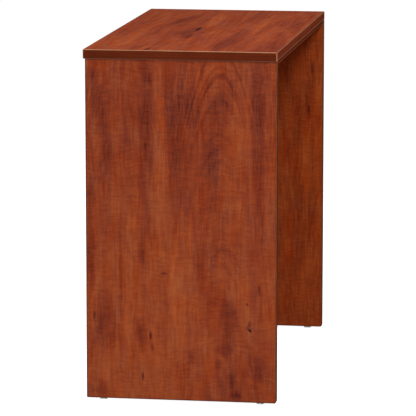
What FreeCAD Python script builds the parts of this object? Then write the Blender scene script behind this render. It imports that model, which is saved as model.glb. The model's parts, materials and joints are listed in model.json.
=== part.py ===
import FreeCAD, Part
import math
import os

from FreeCAD import Vector

# A standing-height desk of laminated boards: a desktop on two end panels, tied by a modesty panel, with
# a shallow rail under its front edge. Cam locks and dowels hold the boards together, and four levelling
# feet carry the desk.
# The origin is on the floor below the middle of the desktop, +X runs along the desk, +Y to its
# closed back and +Z up. All sizes are millimetres.

# The whole desk
DESK_LENGTH = 1200.0
DESK_DEPTH = 585.0
DESK_HEIGHT = 1067.0

# Boards
TOP_THICKNESS = 28.6
END_THICKNESS = 25.0
MODESTY_THICKNESS = 18.0
END_OVERHANG = 3.0
BACK_OVERHANG = 6.0
FLOOR_GAP = 5.0
MODESTY_SETBACK = 50.0
MODESTY_CLEARANCE = 290.0
RAIL_HEIGHT = 12.0
RAIL_DEPTH = 60.0
RAIL_SETBACK = 3.0

# Edge bands and rounded edges
BAND_THICKNESS = 3.0
ARRIS_RADIUS = 2.5
TOE_RADIUS = 6.0
HEEL_RADIUS = 3.0

# Cam locks: a cam turns in a round pocket and draws in the head of a connecting bolt
CAM_DIAMETER = 15.0
CAM_PLAY = 0.1
CAM_SUNK = 0.3
CAM_BELOW_BOLT = 5.5
CAM_EDGE_DISTANCE = 34.0
CAM_CHAMFER = 0.4
CAM_THROW = 0.25
CAM_UNLOCK_ANGLE = 165.0
CHAMBER_RADIUS = 6.05
CROSS_WIDTH = 1.8
CROSS_LENGTH = 9.0
CROSS_DEPTH = 2.4

# Connecting bolts
BOLT_HEAD_DIAMETER = 7.0
BOLT_HEAD_START = 1.5
BOLT_HEAD_LENGTH = 3.0
BOLT_NECK_DIAMETER = 5.0
BOLT_NECK_LENGTH = 5.5
BOLT_SHANK_DIAMETER = 7.0
BOLT_COLLAR_DIAMETER = 7.8
BOLT_COLLAR_LENGTH = 3.0
BOLT_THREAD_DIAMETER = 6.0
BOLT_THREAD_LENGTH = 11.0
BOLT_CHAMFER = 0.8
BOLT_PLAY = 0.3
EDGE_BORE_DIAMETER = 8.0

# Dowels, and the row of dowels and cams along each joint
DOWEL_DIAMETER = 8.0
DOWEL_LENGTH = 35.0
DOWEL_CHAMFER = 1.2
DOWEL_END_ROOM = 1.0
FLUTE_COUNT = 8
FLUTE_RADIUS = 0.5
FITTINGS_PER_JOINT = 5

# Corner brackets and their screws
BRACKET_LEG = 40.0
BRACKET_WIDTH = 20.0
BRACKET_SHEET = 2.5
BRACKET_CORNER = 4.0
BRACKET_HOLE_DIAMETER = 4.6
BRACKET_HOLES = (16.0, 31.0)
SCREW_DIAMETER = 4.0
SCREW_LENGTH = 13.0
SCREW_POINT = 3.0
SCREW_HEAD_DIAMETER = 8.0
SCREW_HEAD_HEIGHT = 2.4
SCREW_HEAD_CROWN = 5.0

# Levelling feet
FOOT_EDGE_DISTANCE = 50.0
PAD_DIAMETER = 22.0
PAD_HEIGHT = 4.5
PAD_FLOOR = 1.3
PAD_BEVEL = 0.8
PAD_CROWN = 1.5
STEM_DIAMETER = 8.0
STEM_THREAD_LENGTH = 32.0
STEM_FLANGE_DIAMETER = 13.0
STEM_FLANGE_HEIGHT = 1.3
STEM_PLAY = 0.1
COLLAR_WIDTH = 13.0
HEX_SIDES = 6
COLLAR_ROOM = 0.6
COLLAR_LIFT = 0.1
INSERT_DIAMETER = 11.0
INSERT_LENGTH = 18.0
INSERT_PLAY = 0.08
INSERT_RINGS = 4
INSERT_GROOVE = 0.6
STEM_BORE_ROOM = 0.5

# Planes and faces worked out from the sizes above
UNDERSIDE = DESK_HEIGHT - TOP_THICKNESS
FRONT = -DESK_DEPTH / 2
BACK = DESK_DEPTH / 2 - BACK_OVERHANG
END_OUTER = DESK_LENGTH / 2 - END_OVERHANG
END_INNER = END_OUTER - END_THICKNESS
END_MIDDLE = END_INNER + END_THICKNESS / 2
CORE_BOTTOM = FLOOR_GAP + BAND_THICKNESS
MODESTY_REAR = BACK - MODESTY_SETBACK
MODESTY_FACE = MODESTY_REAR - MODESTY_THICKNESS
MODESTY_MIDDLE = MODESTY_FACE + MODESTY_THICKNESS / 2
COLLAR_ACROSS_CORNERS = COLLAR_WIDTH / math.cos(math.pi / HEX_SIDES)

X = Vector(1, 0, 0)
Y = Vector(0, 1, 0)
Z = Vector(0, 0, 1)
ORIGIN = Vector(0, 0, 0)
SIDES = (("left", -1), ("right", 1))
FAR = 2 * DESK_LENGTH
OVERSHOOT = 1.0
TINY = 1e-4


def block(low, high):
    """A box between two opposite corners."""
    size = high - low
    return Part.makeBox(size.x, size.y, size.z, low)


def layer(axis, low, high):
    """All the space between two planes square to an axis."""
    corners = [Vector(-FAR, -FAR, -FAR), Vector(FAR, FAR, FAR)]
    for corner, level in zip(corners, (low, high)):
        setattr(corner, axis, level)
    return block(*corners)


def rod(diameter, start, direction, length):
    """A plain cylinder from a start point along a direction."""
    return Part.makeCylinder(diameter / 2, length, start, direction)


def turned(axis, profile):
    """A turned solid about X or Z, from points of distance along the axis and radius."""
    corners = [axis * along + Y * radius for along, radius in profile]
    outline = Part.makePolygon(corners + corners[:1])
    return Part.Face(outline).revolve(ORIGIN, axis, 360)


def edges_where(solid, test):
    """The edges of a solid whose bounding box passes a test."""
    return [edge for edge in solid.Edges if test(edge.BoundBox)]


def place(origin, x_axis, z_axis):
    """A placement whose own X and Z run along two given directions."""
    turn = FreeCAD.Rotation(x_axis, z_axis.cross(x_axis), z_axis, "ZXY")
    return FreeCAD.Placement(origin, turn)


def put(shape, placement):
    """A copy of a shape, moved from the fitting's own frame to its place in the desk."""
    moved = shape.copy()
    moved.Placement = placement.multiply(moved.Placement)
    return moved


def row_along(low, high):
    """Evenly spaced places for one joint's fittings: the dowels', then the cams' between them."""
    step = (high - low) / (FITTINGS_PER_JOINT + 1)
    places = [low + step * number for number in range(1, FITTINGS_PER_JOINT + 1)]
    return places[0::2], places[1::2]


# Boards and edge bands


def desktop_pieces():
    """The desktop's core and the four bands around it, with every outer edge rounded."""
    high = Vector(DESK_LENGTH / 2, DESK_DEPTH / 2, DESK_HEIGHT)
    low = Vector(-high.x, -high.y, UNDERSIDE)
    whole = block(low, high)
    whole = whole.makeFillet(ARRIS_RADIUS, whole.Edges)
    inset = Vector(BAND_THICKNESS, BAND_THICKNESS, 0)
    core = block(low + inset, high - inset)
    rim = whole.cut(core)
    between = rim.common(layer("y", low.y + inset.y, high.y - inset.y))
    bands = {
        "desktop_front_band": rim.common(layer("y", low.y, low.y + inset.y)),
        "desktop_back_band": rim.common(layer("y", high.y - inset.y, high.y)),
        "desktop_left_band": between.common(layer("x", low.x, 0)),
        "desktop_right_band": between.common(layer("x", 0, high.x)),
    }
    return core, bands


def end_panel_pieces(side, sign):
    """An end panel's core and its front, bottom and back bands, with a rounded toe and heel."""
    left = min(sign * END_INNER, sign * END_OUTER)
    low = Vector(left, FRONT, FLOOR_GAP)
    high = Vector(left + END_THICKNESS, BACK, UNDERSIDE)
    whole = block(low, high)
    toe = edges_where(whole, lambda box: box.YMax < FRONT + TINY and box.ZMax < FLOOR_GAP + TINY)
    whole = whole.makeFillet(TOE_RADIUS, toe)
    heel = edges_where(whole, lambda box: box.YMin > BACK - TINY and box.ZMax < FLOOR_GAP + TINY)
    whole = whole.makeFillet(HEEL_RADIUS, heel)
    arrises = edges_where(whole, lambda box: box.XLength < TINY and box.ZMin < UNDERSIDE - TINY)
    whole = whole.makeFillet(ARRIS_RADIUS, arrises)
    core_low = Vector(low.x, FRONT + BAND_THICKNESS, CORE_BOTTOM)
    core_high = Vector(high.x, BACK - BAND_THICKNESS, UNDERSIDE)
    core = block(core_low, core_high)
    rim = whole.cut(core)
    bands = {
        f"{side}_panel_front_band": rim.common(layer("y", FRONT, core_low.y)),
        f"{side}_panel_bottom_band": rim.common(layer("y", core_low.y, core_high.y)),
        f"{side}_panel_back_band": rim.common(layer("y", core_high.y, BACK)),
    }
    return core, bands


def modesty_pieces():
    """The modesty panel's core and the rounded band along its free bottom edge."""
    low = Vector(-END_INNER, MODESTY_FACE, MODESTY_CLEARANCE)
    high = Vector(END_INNER, MODESTY_REAR, UNDERSIDE)
    whole = block(low, high)
    arrises = edges_where(whole, lambda box: box.YLength < TINY and box.ZMax < low.z + TINY)
    whole = whole.makeFillet(ARRIS_RADIUS, arrises)
    core = block(low + Z * BAND_THICKNESS, high)
    return core, {"modesty_bottom_band": whole.cut(core)}


def front_rail():
    """The shallow rail glued flat under the desktop's front edge, with its lower edges rounded."""
    low = Vector(-END_INNER, FRONT + RAIL_SETBACK, UNDERSIDE - RAIL_HEIGHT)
    high = Vector(END_INNER, low.y + RAIL_DEPTH, UNDERSIDE)
    whole = block(low, high)
    arrises = edges_where(whole, lambda box: box.YLength < TINY and box.ZMax < low.z + TINY)
    return whole.makeFillet(ARRIS_RADIUS, arrises)


# Cam locks, in a frame of their own: X along the bolt to the other board, Z out of the cam's face


def cam_places():
    """Each cam: its name, its own board, the board it draws in, its place and its bolt's depth."""
    desktop_cams = row_along(FRONT, BACK)[1]
    modesty_cams = row_along(MODESTY_CLEARANCE, UNDERSIDE)[1]
    for side, sign in SIDES:
        panel = f"{side}_end_panel"
        for spot, across in zip(("front", "back"), desktop_cams):
            centre = Vector(sign * END_MIDDLE, across, UNDERSIDE - CAM_EDGE_DISTANCE)
            where = place(centre, Z, X * -sign)
            yield f"{side}_{spot}_desktop_cam", panel, "desktop", where, END_THICKNESS / 2
        for spot, height in zip(("lower", "upper"), modesty_cams):
            centre = Vector(sign * (END_INNER - CAM_EDGE_DISTANCE), MODESTY_MIDDLE, height)
            where = place(centre, X * sign, Y * -1)
            yield f"{side}_{spot}_modesty_cam", "modesty_panel", panel, where, MODESTY_THICKNESS / 2


def cam_lock(bolt_depth):
    """A cam: an off-centre chamber for the bolt's head, a slot for its neck and a cross recess."""
    radius = CAM_DIAMETER / 2 - CAM_PLAY
    face = bolt_depth - CAM_SUNK
    body = rod(2 * radius, Z * -CAM_BELOW_BOLT, Z, CAM_BELOW_BOLT + face)
    rims = edges_where(body, lambda box: box.ZLength < TINY)
    body = body.makeChamfer(CAM_CHAMFER, rims)

    mouth_angle = math.radians(-CAM_UNLOCK_ANGLE)
    to_mouth = Vector(math.cos(mouth_angle), math.sin(mouth_angle), 0)
    room = BOLT_HEAD_DIAMETER + 2 * BOLT_PLAY
    chamber = rod(2 * CHAMBER_RADIUS, to_mouth * CAM_THROW - Z * (room / 2), Z, room)
    mouth = rod(room, ORIGIN, to_mouth, radius + OVERSHOOT)

    slot = BOLT_NECK_DIAMETER + 2 * BOLT_PLAY
    slot_end = math.degrees(math.asin(slot / 2 / (CHAMBER_RADIUS - CAM_THROW)))
    sweep = CAM_UNLOCK_ANGLE + slot_end
    neck_way = Part.makeCylinder(radius + OVERSHOOT, slot, Z * (-slot / 2), Z, sweep)
    neck_way.rotate(ORIGIN, Z, -CAM_UNLOCK_ANGLE)

    recess = []
    for length, width in ((CROSS_LENGTH, CROSS_WIDTH), (CROSS_WIDTH, CROSS_LENGTH)):
        low = Vector(-length / 2, -width / 2, face - CROSS_DEPTH)
        high = Vector(length / 2, width / 2, face + OVERSHOOT)
        recess.append(block(low, high))
    return body.cut([chamber, mouth, neck_way] + recess)


def connecting_bolt():
    """A connecting bolt: head and neck in the cam, shank and collar in the edge, thread beyond."""
    head = BOLT_HEAD_DIAMETER / 2
    neck = BOLT_NECK_DIAMETER / 2
    shank = BOLT_SHANK_DIAMETER / 2
    collar = BOLT_COLLAR_DIAMETER / 2
    thread = BOLT_THREAD_DIAMETER / 2
    shoulder = BOLT_HEAD_START + BOLT_HEAD_LENGTH
    neck_end = shoulder + BOLT_NECK_LENGTH
    joint = CAM_EDGE_DISTANCE
    tip = joint + BOLT_THREAD_LENGTH
    profile = [
        (BOLT_HEAD_START, 0),
        (BOLT_HEAD_START, head - BOLT_CHAMFER),
        (BOLT_HEAD_START + BOLT_CHAMFER, head),
        (shoulder, head),
        (shoulder, neck),
        (neck_end, neck),
        (neck_end + shank - neck, shank),
        (joint - BOLT_COLLAR_LENGTH, shank),
        (joint - BOLT_COLLAR_LENGTH, collar),
        (joint, collar),
        (joint, thread),
        (tip - BOLT_CHAMFER, thread),
        (tip, thread - BOLT_CHAMFER),
        (tip, 0),
    ]
    return turned(X, profile)


def cam_pocket(bolt_depth):
    """What a cam and its bolt take out of the cam's own board: a round pocket and an edge bore."""
    depth = CAM_BELOW_BOLT + bolt_depth + OVERSHOOT
    pocket = rod(CAM_DIAMETER, Z * -CAM_BELOW_BOLT, Z, depth)
    bore = rod(EDGE_BORE_DIAMETER, ORIGIN, X, CAM_EDGE_DISTANCE + OVERSHOOT)
    return [pocket, bore]


def bolt_hole():
    """What a bolt's thread takes out of the other board."""
    return rod(BOLT_THREAD_DIAMETER, X * CAM_EDGE_DISTANCE, X, BOLT_THREAD_LENGTH)


# Dowels, in a frame of their own: X across the joint, the origin in its plane


def dowel_places():
    """Each dowel: its group, the two boards it joins and its place."""
    desktop_dowels = row_along(FRONT, BACK)[0]
    modesty_dowels = row_along(MODESTY_CLEARANCE, UNDERSIDE)[0]
    for side, sign in SIDES:
        panel = f"{side}_end_panel"
        for across in desktop_dowels:
            where = place(Vector(sign * END_MIDDLE, across, UNDERSIDE), Z, Y)
            yield "desktop_dowels", (panel, "desktop"), where
        for height in modesty_dowels:
            where = place(Vector(sign * END_INNER, MODESTY_MIDDLE, height), X, Z)
            yield "modesty_dowels", ("modesty_panel", panel), where


def dowel():
    """A fluted wooden dowel with chamfered ends."""
    half = DOWEL_LENGTH / 2
    radius = DOWEL_DIAMETER / 2
    profile = [
        (-half, 0),
        (-half, radius - DOWEL_CHAMFER),
        (-half + DOWEL_CHAMFER, radius),
        (half - DOWEL_CHAMFER, radius),
        (half, radius - DOWEL_CHAMFER),
        (half, 0),
    ]
    flute = rod(2 * FLUTE_RADIUS, Vector(-half - OVERSHOOT, radius, 0), X, DOWEL_LENGTH + 2 * OVERSHOOT)
    flutes = []
    for number in range(FLUTE_COUNT):
        copy = flute.copy()
        copy.rotate(ORIGIN, X, 360 * number / FLUTE_COUNT)
        flutes.append(copy)
    return turned(X, profile).cut(flutes)


def dowel_hole():
    """The bore that a dowel fills on both sides of its joint, with room at each end."""
    half = DOWEL_LENGTH / 2 + DOWEL_END_ROOM
    return rod(DOWEL_DIAMETER, X * -half, X, 2 * half)


# Corner brackets, in a frame of their own: X along the desk, -Y along one leg, -Z down the other


def bracket_places():
    """Each bracket: its side and its place in the corner of modesty panel and desktop."""
    for side, sign in SIDES:
        corner = Vector(sign * END_INNER / 2, MODESTY_FACE, UNDERSIDE)
        yield side, place(corner, X, Z)


def bracket():
    """A bent steel bracket with two screw holes in each leg."""
    inner = BRACKET_LEG - BRACKET_SHEET
    half = BRACKET_WIDTH / 2
    outside = block(Vector(-half, -BRACKET_LEG, -BRACKET_LEG), Vector(half, 0, 0))
    bend = edges_where(outside, lambda box: box.YMin > -TINY and box.ZMin > -TINY)
    outside = outside.makeFillet(2 * BRACKET_SHEET, bend)
    hollow = block(Vector(-BRACKET_WIDTH, -inner, -inner), Vector(BRACKET_WIDTH, 0, 0))
    crease = edges_where(hollow, lambda box: box.YMin > -TINY and box.ZMin > -TINY)
    hollow = hollow.makeFillet(BRACKET_SHEET, crease)
    hollow.translate(Vector(0, -BRACKET_SHEET, -BRACKET_SHEET))
    angle = outside.cut(hollow)
    leg_ends = edges_where(
        angle,
        lambda box: box.XLength < TINY
        and (box.YMax < -BRACKET_LEG + TINY or box.ZMax < -BRACKET_LEG + TINY)
        and max(box.YLength, box.ZLength) < BRACKET_SHEET + TINY,
    )
    angle = angle.makeFillet(BRACKET_CORNER, leg_ends)
    holes = []
    for along in BRACKET_HOLES:
        holes.append(rod(BRACKET_HOLE_DIAMETER, Y * -along, -Z, BRACKET_LEG))
        holes.append(rod(BRACKET_HOLE_DIAMETER, Z * -along, -Y, BRACKET_LEG))
    return angle.cut(holes)


def screw_places(corner):
    """Where one bracket's screws go: into the desktop, then into the modesty panel."""
    for along in BRACKET_HOLES:
        yield "desktop", corner.multiply(place(Vector(0, -along, -BRACKET_SHEET), X, Z))
        yield "modesty_panel", corner.multiply(place(Vector(0, -BRACKET_SHEET, -along), X, Y))


def screw():
    """A crowned-head wood screw pointing along its own Z, its head's seat at the origin."""
    head = SCREW_HEAD_DIAMETER / 2
    shank = SCREW_DIAMETER / 2
    profile = [
        (-SCREW_HEAD_HEIGHT, 0),
        (-SCREW_HEAD_HEIGHT, SCREW_HEAD_CROWN / 2),
        (-SCREW_HEAD_HEIGHT / 2, head),
        (0, head),
        (0, shank),
        (SCREW_LENGTH - SCREW_POINT, shank),
        (SCREW_LENGTH, 0),
    ]
    return turned(Z, profile)


# Levelling feet, in a frame of their own: Z up the stem, the origin on the floor


def foot_places():
    """Each foot: its name, its side and its place on the floor."""
    ends = (("front", FRONT + FOOT_EDGE_DISTANCE), ("back", BACK - FOOT_EDGE_DISTANCE))
    for side, sign in SIDES:
        for spot, across in ends:
            yield f"{side}_{spot}_foot", side, place(Vector(sign * END_MIDDLE, across, 0), X, Z)


def foot_pad():
    """A nylon pad with a bevelled sole and a socket that lets the stem's flange turn."""
    outer = PAD_DIAMETER / 2
    socket = STEM_FLANGE_DIAMETER / 2 + STEM_PLAY
    throat = STEM_DIAMETER / 2 + STEM_PLAY
    ceiling = PAD_FLOOR + STEM_FLANGE_HEIGHT + STEM_PLAY
    profile = [
        (0, 0),
        (0, outer - PAD_BEVEL),
        (PAD_BEVEL, outer),
        (PAD_HEIGHT - PAD_CROWN, outer),
        (PAD_HEIGHT, outer - PAD_CROWN),
        (PAD_HEIGHT, throat),
        (ceiling, throat),
        (ceiling, socket),
        (PAD_FLOOR, socket),
        (PAD_FLOOR, 0),
    ]
    return turned(Z, profile)


def foot_stem():
    """A stem: a flange in the pad, a hex collar that stops on the insert, and the thread above."""
    shank = STEM_DIAMETER / 2
    flange = STEM_FLANGE_DIAMETER / 2
    flange_top = PAD_FLOOR + STEM_FLANGE_HEIGHT
    tip = CORE_BOTTOM + STEM_THREAD_LENGTH
    profile = [
        (PAD_FLOOR, 0),
        (PAD_FLOOR, flange),
        (flange_top, flange),
        (flange_top, shank),
        (tip - BOLT_CHAMFER, shank),
        (tip, shank - BOLT_CHAMFER),
        (tip, 0),
    ]
    corner = Vector(COLLAR_ACROSS_CORNERS / 2, 0, PAD_HEIGHT + COLLAR_LIFT)
    corners = []
    for number in range(HEX_SIDES + 1):
        turn = FreeCAD.Rotation(Z, 360 * number / HEX_SIDES)
        corners.append(turn.multVec(corner))
    hexagon = Part.Face(Part.makePolygon(corners))
    collar = hexagon.extrude(Z * (CORE_BOTTOM - corner.z))
    return turned(Z, profile).fuse(collar).removeSplitter()


def foot_insert():
    """A threaded insert, grooved outside, flush with the board's bottom edge."""
    outer = INSERT_DIAMETER / 2
    inner = STEM_DIAMETER / 2 + INSERT_PLAY
    tube = rod(INSERT_DIAMETER, Z * CORE_BOTTOM, Z, INSERT_LENGTH)
    cuts = [rod(2 * inner, Z * CORE_BOTTOM, Z, INSERT_LENGTH)]
    pitch = INSERT_LENGTH / (INSERT_RINGS + 1)
    for number in range(1, INSERT_RINGS + 1):
        middle = CORE_BOTTOM + pitch * number
        profile = [
            (middle - INSERT_GROOVE, outer + INSERT_GROOVE),
            (middle, outer - INSERT_GROOVE),
            (middle + INSERT_GROOVE, outer + INSERT_GROOVE),
        ]
        cuts.append(turned(Z, profile))
    return tube.cut(cuts)


def foot_bore():
    """What a foot takes out of an end panel: the insert's bore, then room for the stem."""
    insert = rod(INSERT_DIAMETER, Z * FLOOR_GAP, Z, CORE_BOTTOM - FLOOR_GAP + INSERT_LENGTH)
    length = STEM_THREAD_LENGTH + 2 * STEM_BORE_ROOM
    stem = rod(STEM_DIAMETER + 2 * STEM_BORE_ROOM, Z * CORE_BOTTOM, Z, length)
    return [insert, stem]


def collar_hole():
    """The hole in a bottom band that takes in the stem's hex collar."""
    return rod(COLLAR_ACROSS_CORNERS + 2 * COLLAR_ROOM, ORIGIN, Z, CORE_BOTTOM + OVERSHOOT)


# Fitting everything together


def make_boards():
    """The four boards' cores, the front rail and all edge bands, before any drilling."""
    boards = {}
    boards["desktop"], bands = desktop_pieces()
    for side, sign in SIDES:
        boards[f"{side}_end_panel"], panel_bands = end_panel_pieces(side, sign)
        bands.update(panel_bands)
    boards["modesty_panel"], modesty_bands = modesty_pieces()
    bands.update(modesty_bands)
    boards["front_rail"] = front_rail()
    return boards, bands


def add_cams(nodes, cuts):
    """Cams, each a node, their bolts in two groups, and the boards' pockets and holes."""
    bolt = connecting_bolt()
    for name, own_board, other_board, where, depth in cam_places():
        nodes[name] = [put(cam_lock(depth), where)]
        group = "desktop_cam_bolts" if other_board == "desktop" else "modesty_cam_bolts"
        nodes.setdefault(group, []).append(put(bolt, where))
        cuts[own_board] += [put(tool, where) for tool in cam_pocket(depth)]
        cuts[other_board].append(put(bolt_hole(), where))


def add_dowels(nodes, cuts):
    """Dowels in two groups, and their holes in the boards on both sides."""
    peg = dowel()
    for group, joined, where in dowel_places():
        nodes.setdefault(group, []).append(put(peg, where))
        for board in joined:
            cuts[board].append(put(dowel_hole(), where))


def add_brackets(nodes, cuts):
    """Two brackets, their screws in one group, and the screws' holes."""
    for side, corner in bracket_places():
        nodes[f"{side}_bracket"] = [put(bracket(), corner)]
        for board, where in screw_places(corner):
            nodes.setdefault("bracket_screws", []).append(put(screw(), where))
            cuts[board].append(put(screw(), where))


def add_feet(nodes, cuts):
    """Four feet: a pad and a stem each, their inserts in one group, and the bores they need."""
    for name, side, where in foot_places():
        nodes[f"{name}_pad"] = [put(foot_pad(), where)]
        nodes[f"{name}_stem"] = [put(foot_stem(), where)]
        nodes.setdefault("foot_inserts", []).append(put(foot_insert(), where))
        cuts[f"{side}_end_panel"] += [put(tool, where) for tool in foot_bore()]
        cuts[f"{side}_panel_bottom_band"].append(put(collar_hole(), where))


def make_desk():
    """Every node of the desk: a name and the list of its solids."""
    boards, bands = make_boards()
    uncut = {**boards, **bands}
    cuts = {name: [] for name in uncut}
    nodes = {}
    add_cams(nodes, cuts)
    add_dowels(nodes, cuts)
    add_brackets(nodes, cuts)
    add_feet(nodes, cuts)
    for name, solid in uncut.items():
        nodes[name] = [solid.cut(cuts[name])] if cuts[name] else [solid]
    return nodes


def save(name, shapes):
    """Write one node's solids to its own file."""
    solids = [solid for shape in shapes for solid in shape.Solids]
    whole = solids[0] if len(solids) == 1 else Part.makeCompound(solids)
    whole.exportStep(f"parts/{name}.step")


os.makedirs("parts", exist_ok=True)
for node, pieces in make_desk().items():
    save(node, pieces)
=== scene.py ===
import json
import math
from collections import namedtuple

import bmesh
import bpy
from mathutils import Matrix, Vector


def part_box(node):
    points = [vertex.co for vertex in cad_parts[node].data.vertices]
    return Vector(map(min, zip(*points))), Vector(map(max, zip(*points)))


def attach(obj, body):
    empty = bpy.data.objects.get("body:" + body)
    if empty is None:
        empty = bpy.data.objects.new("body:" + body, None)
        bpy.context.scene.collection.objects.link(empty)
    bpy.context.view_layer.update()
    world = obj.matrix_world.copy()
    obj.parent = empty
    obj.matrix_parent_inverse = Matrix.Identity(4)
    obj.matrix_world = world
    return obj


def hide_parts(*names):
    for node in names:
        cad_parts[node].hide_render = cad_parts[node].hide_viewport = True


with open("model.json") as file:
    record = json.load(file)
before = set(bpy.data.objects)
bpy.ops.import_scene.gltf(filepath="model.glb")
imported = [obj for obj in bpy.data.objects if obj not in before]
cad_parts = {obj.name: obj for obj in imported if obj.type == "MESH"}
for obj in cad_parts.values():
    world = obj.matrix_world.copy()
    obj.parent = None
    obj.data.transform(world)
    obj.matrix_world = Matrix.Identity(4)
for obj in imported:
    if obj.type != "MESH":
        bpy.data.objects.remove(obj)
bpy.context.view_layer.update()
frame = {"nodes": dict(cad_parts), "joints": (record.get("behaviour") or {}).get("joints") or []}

# The looks of a standing-height desk in cherry laminate. Lengths are metres and colours are linear.

# Camera, fitted to the desk's outline in the photograph
EYE = Vector((-9.9140, -1.5183, 2.1582))
AIM = Vector((0.0, 0.0065, 0.4963))
LENS_MM = 276.9
SENSOR_MM = 36.0

# Light and background
AMBIENT = 0.15
FLOOR_REACH = 60.0
FLOOR_DROP = 0.0003
FLOOR_COLOUR = (0.66, 0.66, 0.66, 1.0)
FLOOR_GLOW = 0.90
WHITE = (1.0, 1.0, 1.0, 1.0)
SOFTBOX_TARGET = Vector((0.0, 0.0, 0.55))
Softbox = namedtuple("Softbox", "place side power")
SOFTBOXES = {
    "key_softbox": Softbox((-2.1, -2.5, 4.8), 2.0, 278.0),
    "near_end_softbox": Softbox((-5.2, 1.0, 2.2), 2.6, 82.0),
    "overhead_softbox": Softbox((0.4, 0.6, 4.2), 3.0, 17.0),
    "back_softbox": Softbox((3.4, 4.0, 2.4), 2.6, 60.0),
}

# Finishes: a layer of noise has a width and a length of its features, a detail and a weight. A roughness is
# a least value and what the noise adds to it, and a bump is a distance and a strength.
Layer = namedtuple("Layer", "width length detail weight", defaults=(1.0,))

# What is added to a finish's seed, so that a further layer differs from the others
MOTTLE_SEED = 2
WEAR_AND_PAINTED_LIGHT_SEED = 3
FIGURE_SEED = 5
TINT_SEED = 7

# Cherry laminate, from its darkest tone to its palest
LAMINATE_TONES = (
    (0.00, (0.030, 0.0075, 0.0058)),
    (0.10, (0.068, 0.0132, 0.0086)),
    (0.24, (0.126, 0.0218, 0.0113)),
    (0.50, (0.222, 0.0395, 0.0150)),
    (0.75, (0.310, 0.0640, 0.0190)),
    (1.00, (0.400, 0.0950, 0.0260)),
)
LAMINATE_TINTS = (
    (0.30, (1.02, 0.86, 0.70)),
    (0.70, (0.98, 1.14, 1.34)),
)
PLAIN_BOARD = (1.0, 1.0, 1.0, 1.0)
WARM_BOARD = (1.06, 0.94, 0.56, 1.0)
MIDDLE_TONE = 0.54
LAMINATE_ROUGHNESS = (0.38, 0.16)
LAMINATE_BUMP = (0.0002, 0.25)
LAMINATE_SHEEN = 0.020
LAMINATE_SHEEN_ROUGHNESS = 0.3
BROAD_LAYERS = (
    Layer(0.070, 0.90, 2.0, 0.29),
    Layer(0.020, 0.24, 2.0, 0.26),
    Layer(0.050, 0.085, 3.0, 0.32),
    Layer(0.0075, 0.11, 2.0, 0.28),
)
FIBRES = Layer(0.0036, 0.070, 1.0, 0.38)
RIPPLE = Layer(0.026, 0.0050, 1.0, 0.38)
TINT = Layer(0.030, 0.10, 3.0)
MOTTLE = Layer(0.008, 0.034, 3.0, 0.80)
MOTTLE_LEAST = 0.80

# How much longer the grain is drawn out than on the end panels
DESKTOP_STRETCH = 3.2
MODESTY_STRETCH = 2.0

# How fast the print changes through a board, so that its faces differ, and how deep a mark reaches
FACE_STRETCH = 40.0
MARK_DEPTH = 0.5 / FACE_STRETCH

# How far in from its border a mark is at full strength, as a share of its half size
MARK_FADE = 0.75

# Crowns of growth rings: their spacing across the board, the bend of their parabolas and the rings' period
# along the grain. Figures are finer, clearer rings, which darken from one value of their noise to another.
CROWN_SPACING = 0.31
CROWN_BEND = 22.0
CROWN_PERIOD = 0.055
CROWN_DETAIL = 2.0
CROWN_WEIGHT = 0.32
FIGURE_PERIOD = 0.024
FIGURE_DETAIL = 1.0
FIGURE_FADE = (0.52, 0.34)

# How places wander: rates across the grain, along it and through the board, and reaches in metres
DRIFT_RATE = (14.0, 5.0, FACE_STRETCH)
SHIVER_RATE = (60.0, 28.0, FACE_STRETCH)
WANDER_DETAIL = 2.0
NOISE_MIDDLE = (0.5, 0.5, 0.5)
PRINT_DRIFT = (0.010, 0.030, 0.0)
PRINT_SHIVER = (0.004, 0.012, 0.0)
GRAIN_DRIFT = (0.016, 0.060, 0.0)
GRAIN_SHIVER = (0.009, 0.022, 0.0)

# Edge bands
BAND_TONES = (
    (0.25, (0.078, 0.0125, 0.0042)),
    (0.75, (0.140, 0.0240, 0.0078)),
)
# A paler, lit copy of the same band's tones for the desktop's long bands: painted light
FRONT_BAND_LIT_TONES = (
    (0.25, (0.107, 0.0184, 0.0069)),
    (0.75, (0.192, 0.0353, 0.0129)),
)
RAIL_TONES = (
    (0.25, (0.118, 0.0250, 0.0120)),
    (0.75, (0.205, 0.0450, 0.0220)),
)
# Pale tones of rounded arrises: partly the band's scraped, paler PVC and partly a painted highlight where
# light catches the rounding
SCRAPED_AND_HIGHLIGHT_TONES = (
    (0.30, (0.30, 0.142, 0.072)),
    (0.70, (0.44, 0.215, 0.118)),
)
# The front band's upper arris: scraped PVC and a painted highlight
FRONT_ARRIS_HIGHLIGHT_TONES = (
    (0.30, (0.170, 0.074, 0.036)),
    (0.70, (0.245, 0.113, 0.058)),
)
# Painted shade: the front band's lower arris, which faces down, drawn nearly black as a shadow line
FRONT_UNDER_SHADE_TONES = (
    (0.30, (0.028, 0.0125, 0.007)),
    (0.70, (0.046, 0.0210, 0.012)),
)
# Painted shade: the end bands' scraped lower arrises, darker than the scraped tones above because they face
# down
SCRAPED_UNDER_SHADE_TONES = (
    (0.30, (0.120, 0.060, 0.042)),
    (0.70, (0.180, 0.092, 0.064)),
)
DULL_ARRIS_TONES = (
    (0.30, (0.100, 0.042, 0.018)),
    (0.70, (0.170, 0.074, 0.033)),
)
LOWER_LINE_TONES = (
    (0.30, (0.155, 0.050, 0.026)),
    (0.70, (0.220, 0.071, 0.037)),
)
# Painted shadow: the top of the front rail, darkened where the desktop's edge shades it
SEAM_SHADOW_TONES = (
    (0.30, (0.080, 0.0135, 0.0034)),
    (0.70, (0.112, 0.0190, 0.0048)),
)
BAND_LINES = Layer(0.004, 0.30, 2.0, 0.6)
BAND_CLOUD = Layer(0.050, 0.08, 2.0, 0.4)
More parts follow.
